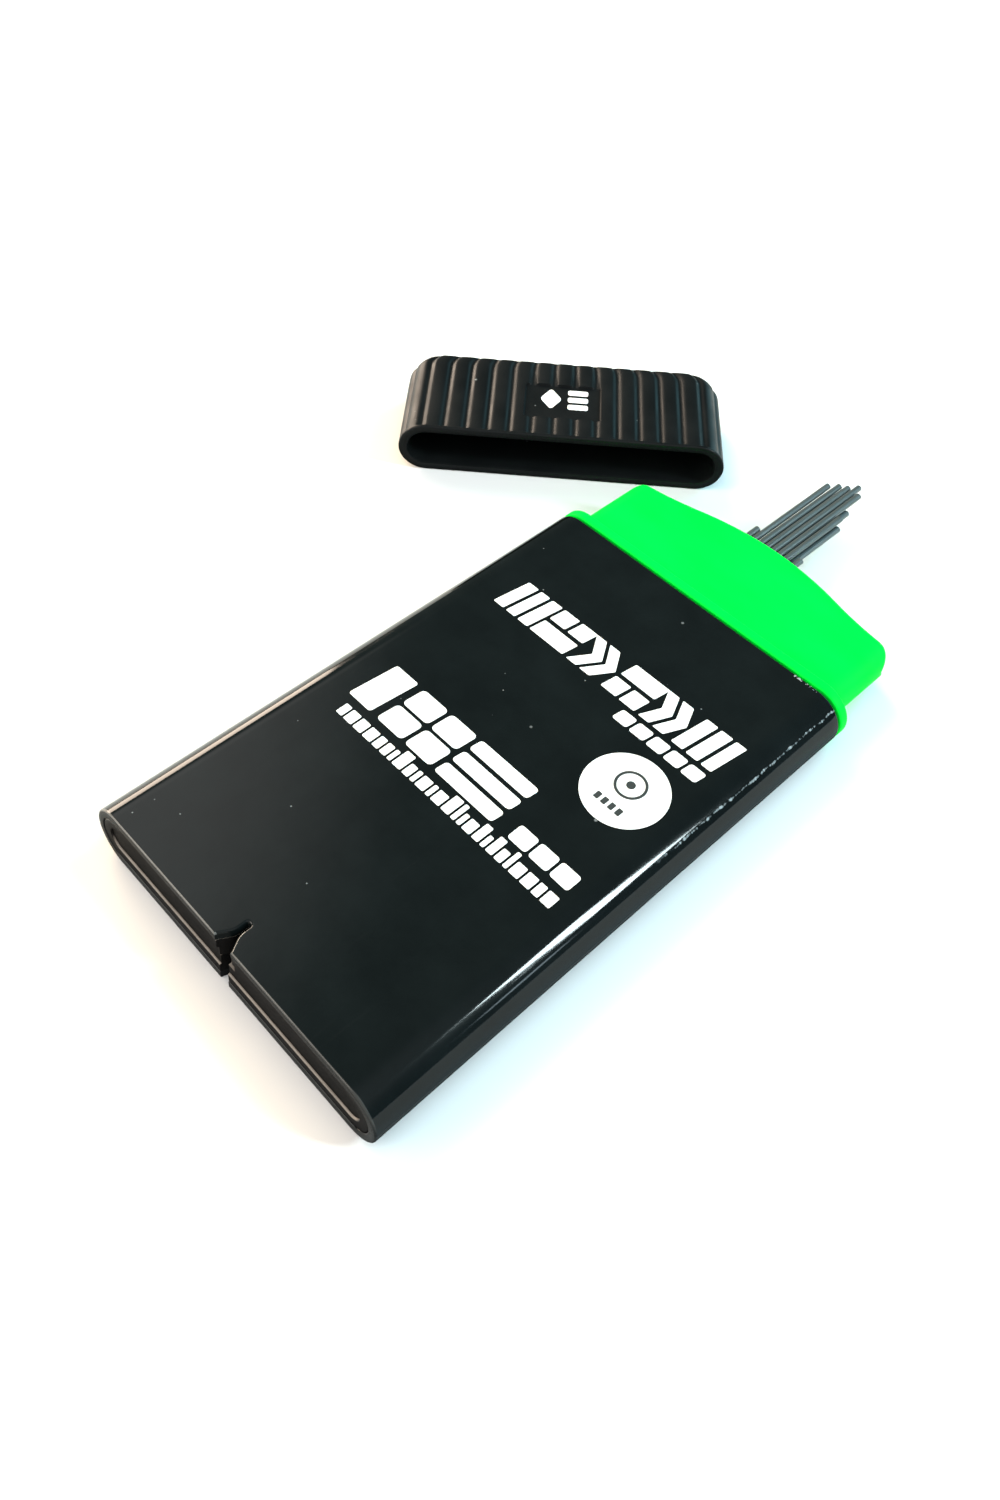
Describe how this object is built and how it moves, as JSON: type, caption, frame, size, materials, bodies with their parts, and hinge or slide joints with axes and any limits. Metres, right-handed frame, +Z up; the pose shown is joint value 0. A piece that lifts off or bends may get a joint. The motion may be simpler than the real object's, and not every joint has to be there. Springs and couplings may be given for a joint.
{
  "type": "mechanical pencil lead case",
  "caption": "Flat plastic case for mechanical-pencil leads, with an arched neck, a ribbed pull-off cap lying beside it and graphite leads standing out of the mouth.",
  "frame": {"origin": "centre of the sleeve's flat back face, on the table", "axes": "+X across the case, +Y along it from the bottom plug towards the mouth, +Z up out of the table through the front face"},
  "size_m": [0.0655, 0.0847, 0.0061],
  "materials": {
    "gloss_black": "gloss",
    "satin_black": "satin",
    "ribbed_black": "satin",
    "green": "satin",
    "graphite": "satin",
    "white_print": "satin"
  },
  "bodies": {
    "case": {"sleeve": "gloss_black", "bottom_plug": "satin_black", "neck_insert": "green"},
    "cap": {"cap": "ribbed_black"},
    "leads_lower": {"lead_lower_01": "graphite", "lead_lower_02": "graphite", "lead_lower_03": "graphite", "lead_lower_04": "graphite", "lead_lower_05": "graphite", "lead_lower_06": "graphite", "lead_lower_07": "graphite", "lead_lower_08": "graphite", "lead_lower_09": "graphite", "lead_lower_10": "graphite", "lead_lower_11": "graphite", "lead_lower_12": "graphite", "lead_lower_13": "graphite", "lead_lower_14": "graphite", "lead_lower_15": "graphite", "lead_lower_16": "graphite", "lead_lower_17": "graphite", "lead_lower_18": "graphite", "lead_lower_19": "graphite", "lead_lower_20": "graphite", "lead_lower_21": "graphite", "lead_lower_22": "graphite"},
    "leads_middle": {"lead_middle_01": "graphite", "lead_middle_02": "graphite", "lead_middle_03": "graphite", "lead_middle_04": "graphite", "lead_middle_05": "graphite"},
    "leads_top": {"lead_top_01": "graphite", "lead_top_02": "graphite", "lead_top_03": "graphite", "lead_top_04": "graphite", "lead_top_05": "graphite"},
    "leads_short": {"lead_short_01": "graphite", "lead_short_02": "graphite"}
  },
  "joints": [
    {"name": "cap_swing", "type": "hinge", "parent": "case", "child": "cap", "pos_m": [0.03419, 0.02132, 0], "axis": [0, 0, -1], "range_deg": [0, 42.8]},
    {"name": "lead_feed_lower", "type": "slide", "parent": "case", "child": "leads_lower", "axis": [0, 1, 0], "range_m": [0, 0.012]},
    {"name": "lead_feed_middle", "type": "slide", "parent": "case", "child": "leads_middle", "axis": [0, 1, 0], "range_m": [-0.0145, 0.001]},
    {"name": "lead_feed_top", "type": "slide", "parent": "case", "child": "leads_top", "axis": [0, 1, 0], "range_m": [-0.0157, 0.001]},
    {"name": "lead_feed_short", "type": "slide", "parent": "case", "child": "leads_short", "axis": [0, 1, 0], "range_m": [-0.0117, 0.001]}
  ]
}
